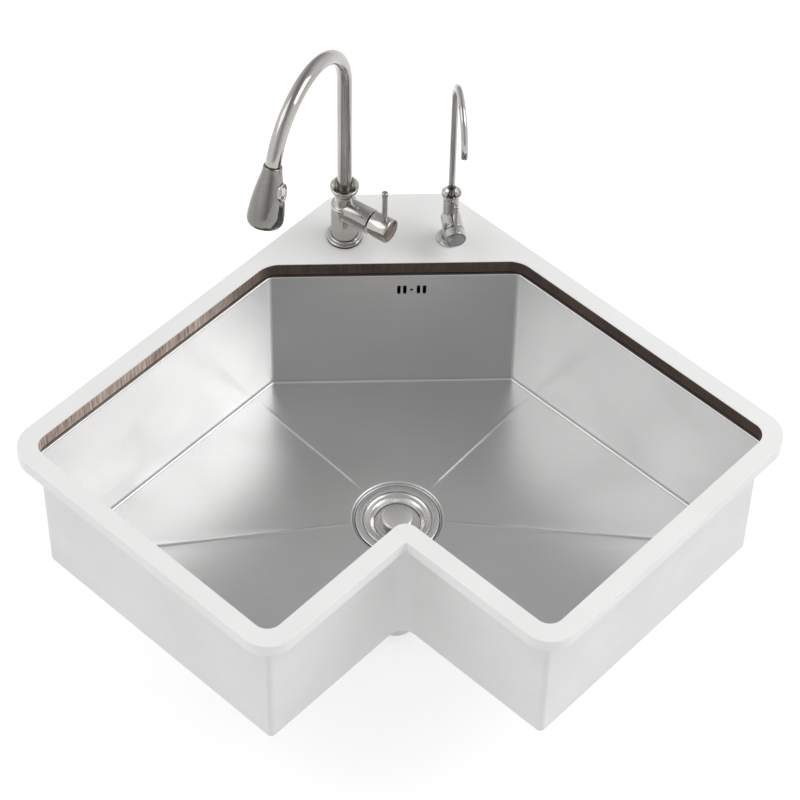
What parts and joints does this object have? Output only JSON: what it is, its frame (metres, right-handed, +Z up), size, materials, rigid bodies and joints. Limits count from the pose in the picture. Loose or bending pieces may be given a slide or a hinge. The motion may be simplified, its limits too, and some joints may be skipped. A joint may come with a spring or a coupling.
{
  "type": "corner kitchen sink",
  "caption": "V-shaped corner sink bowl under a close-cut worktop, with waste kit, overflow, pull-down mixer tap and a drinking-water tap.",
  "frame": {"origin": "on the underside of the worktop, on the centreline, in the middle of the ledge that carries the taps, behind the bowl", "axes": "+Z up, +Y towards the corner of the walls, +X to the right of someone at the sink"},
  "size_m": [1.0022, 0.7624, 0.9096],
  "materials": {
    "bowl_steel": "satin stainless sheet with a fine grain along each wall; the outside has a pale sound-deadening coat",
    "drain_steel": "turned stainless with fine rings",
    "tap_steel": "finely brushed stainless that still reflects softly",
    "screw_steel": "plain bright steel",
    "white_laminate": "matt white laminate, with a faint texture",
    "brown_board": "dark brown pressed board with a fine upright grain, lighter on the left side",
    "black_rubber": "matt black",
    "pale_pad": "matt pale grey, slightly pitted",
    "white_plastic": "moulded, slightly glossy",
    "dark_plastic": "moulded, satin",
    "brass": "machined"
  },
  "bodies": {
    "sink": {"worktop_core": "brown_board", "worktop_laminate": "white_laminate", "silicone_seal": "black_rubber", "bowl_floor": "bowl_steel", "bowl_back_wrap": "bowl_steel", "bowl_right_wrap": "bowl_steel", "bowl_left_wrap": "bowl_steel", "left_sound_pad": "pale_pad", "right_sound_pad": "pale_pad", "rim_screw_1": "screw_steel", "rim_screw_2": "screw_steel", "rim_screw_3": "screw_steel", "rim_screw_4": "screw_steel", "rim_screw_5": "screw_steel", "rim_screw_6": "screw_steel", "overflow_gasket": "black_rubber", "overflow_housing": "white_plastic", "overflow_pipe": "white_plastic", "strainer_flange": "drain_steel", "strainer_gasket": "black_rubber", "strainer_body": "white_plastic", "strainer_screw": "screw_steel", "trap_inlet_nut": "white_plastic", "trap_body": "white_plastic", "trap_cup": "white_plastic", "outlet_nut": "white_plastic", "outlet_pipe": "white_plastic", "tap_base_gasket": "black_rubber", "tap_base_ring": "tap_steel", "tap_body": "tap_steel", "tap_collar": "tap_steel", "tap_shank": "brass", "tap_clamp_washer": "black_rubber", "tap_locknut": "brass", "tap_inlet_hot": "brass", "tap_inlet_cold": "brass", "tap_cartridge": "dark_plastic", "filter_base_ring": "tap_steel", "filter_body": "tap_steel", "filter_collar": "tap_steel", "filter_shank": "brass", "filter_locknut": "brass", "filter_cartridge": "brass"},
    "spout": {"spout_tube": "tap_steel"},
    "spray_head": {"spray_shell": "tap_steel", "spray_face": "dark_plastic", "spray_bezel": "tap_steel", "hose_end": "dark_plastic"},
    "spray_button": {"spray_button": "tap_steel"},
    "mixer_turn": {"cartridge_dome": "dark_plastic"},
    "mixer_lever": {"lever_hub": "tap_steel", "lever_pin": "tap_steel"},
    "filter_spout": {"filter_spout": "tap_steel"},
    "filter_lever": {"filter_hub": "tap_steel", "filter_pin": "tap_steel"},
    "strainer_basket": {"strainer_basket": "drain_steel", "basket_screen": "drain_steel"},
    "plug": {"plug_seal": "black_rubber", "plug_disc": "drain_steel", "plug_knob": "drain_steel"}
  },
  "joints": [
    {"name": "spout_swing", "type": "hinge", "parent": "sink", "child": "spout", "pos_m": [-0.067, -0.0465, 0.12], "axis": [0, 0, 1], "range_deg": [-90, 68]},
    {"name": "spray_pull", "type": "slide", "parent": "spout", "child": "spray_head", "axis": [-0.1451, -0.2728, -0.9511], "range_m": [0, 0.02]},
    {"name": "spray_button_press", "type": "slide", "parent": "spray_head", "child": "spray_button", "axis": [-0.8946, 0.4119, -0.1733], "range_m": [0, 0.0015], "stiffness_N_per_m": 400, "springref_m": -0.001},
    {"name": "mixer_temperature", "type": "hinge", "parent": "sink", "child": "mixer_turn", "pos_m": [-0.067, -0.0465, 0.077], "axis": [0.809, -0.5878, 0], "range_deg": [-45, 45]},
    {"name": "mixer_flow", "type": "hinge", "parent": "mixer_turn", "child": "mixer_lever", "pos_m": [-0.0314, -0.07236, 0.077], "axis": [0.5878, 0.809, 0], "range_deg": [0, 18]},
    {"name": "filter_swing", "type": "hinge", "parent": "sink", "child": "filter_spout", "pos_m": [0.078, -0.053, 0.11], "axis": [0, 0, 1], "range_deg": [-60, 60]},
    {"name": "filter_turn", "type": "hinge", "parent": "sink", "child": "filter_lever", "pos_m": [0.078, -0.053, 0.065], "axis": [0.1219, -0.9925, 0], "range_deg": [-90, 0]},
    {"name": "basket_lift", "type": "slide", "parent": "sink", "child": "strainer_basket", "axis": [0, 0, 1], "range_m": [0, 0.1]},
    {"name": "plug_lift", "type": "slide", "parent": "strainer_basket", "child": "plug", "axis": [0, 0, 1], "range_m": [0, 0.05]}
  ]
}
